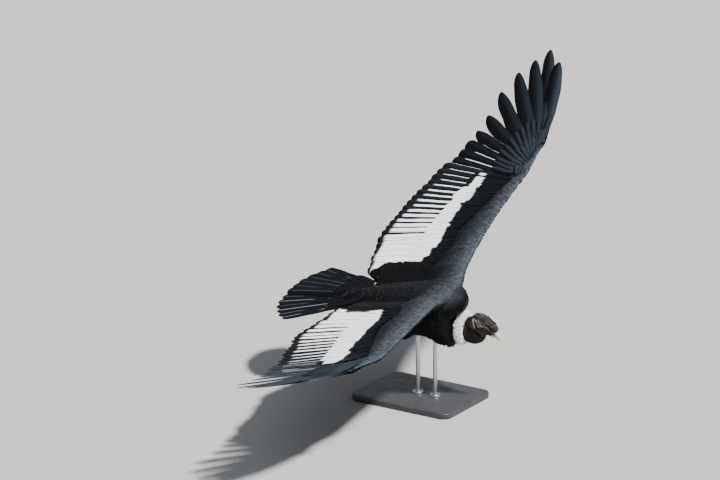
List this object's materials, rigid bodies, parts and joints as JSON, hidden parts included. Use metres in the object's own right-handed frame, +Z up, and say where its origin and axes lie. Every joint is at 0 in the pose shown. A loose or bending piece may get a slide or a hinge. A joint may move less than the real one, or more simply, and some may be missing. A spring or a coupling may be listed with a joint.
{
  "type": "andean condor",
  "caption": "Life-size gliding Andean condor, an adult male with white ruff, comb and fingered wings, on a plain display stand.",
  "frame": {"origin": "middle of the stand base's underside, on the floor", "axes": "+X the way the bird heads, +Y to its left, +Z up"},
  "size_m": [1.0478, 2.5029, 1.2396],
  "materials": {
    "plumage": "black contour feathers with a blue-grey sheen on the leading edges",
    "flight_feathers": "black vanes, silvery white on the secondaries and greater coverts",
    "ruff_down": "fluffy white down",
    "bare_skin": "wrinkled dark brown skin with pinkish-tan folds behind the eye",
    "comb_skin": "wrinkled dark grey caruncle with pale creases",
    "bill_horn": "ivory horn, black-brown at the base",
    "eye": "brown iris, wet gloss",
    "leg_scales": "dark grey scaled skin",
    "claw_horn": "blunt black horn",
    "stand_paint": "matt charcoal powder coat",
    "stand_steel": "brushed along the rod"
  },
  "bodies": {
    "root": {"torso": "plumage", "neck": "bare_skin", "ruff": "ruff_down", "head": "bare_skin", "comb": "comb_skin", "bill_upper": "bill_horn", "bill_lower": "bill_horn", "eye_left": "eye", "eye_right": "eye", "wing_left_arm": "flight_feathers", "wing_left_hand": "flight_feathers", "wing_right_arm": "flight_feathers", "wing_right_hand": "flight_feathers", "tail": "flight_feathers", "thigh_left": "plumage", "thigh_right": "plumage", "shank_left": "leg_scales", "shank_right": "leg_scales", "foot_left": "leg_scales", "foot_right": "leg_scales", "claw_left_inner": "claw_horn", "claw_left_middle": "claw_horn", "claw_left_outer": "claw_horn", "claw_left_hind": "claw_horn", "claw_right_inner": "claw_horn", "claw_right_middle": "claw_horn", "claw_right_outer": "claw_horn", "claw_right_hind": "claw_horn", "stand_base": "stand_paint", "stand_rod_front": "stand_steel", "stand_rod_rear": "stand_steel"}
  },
  "joints": []
}
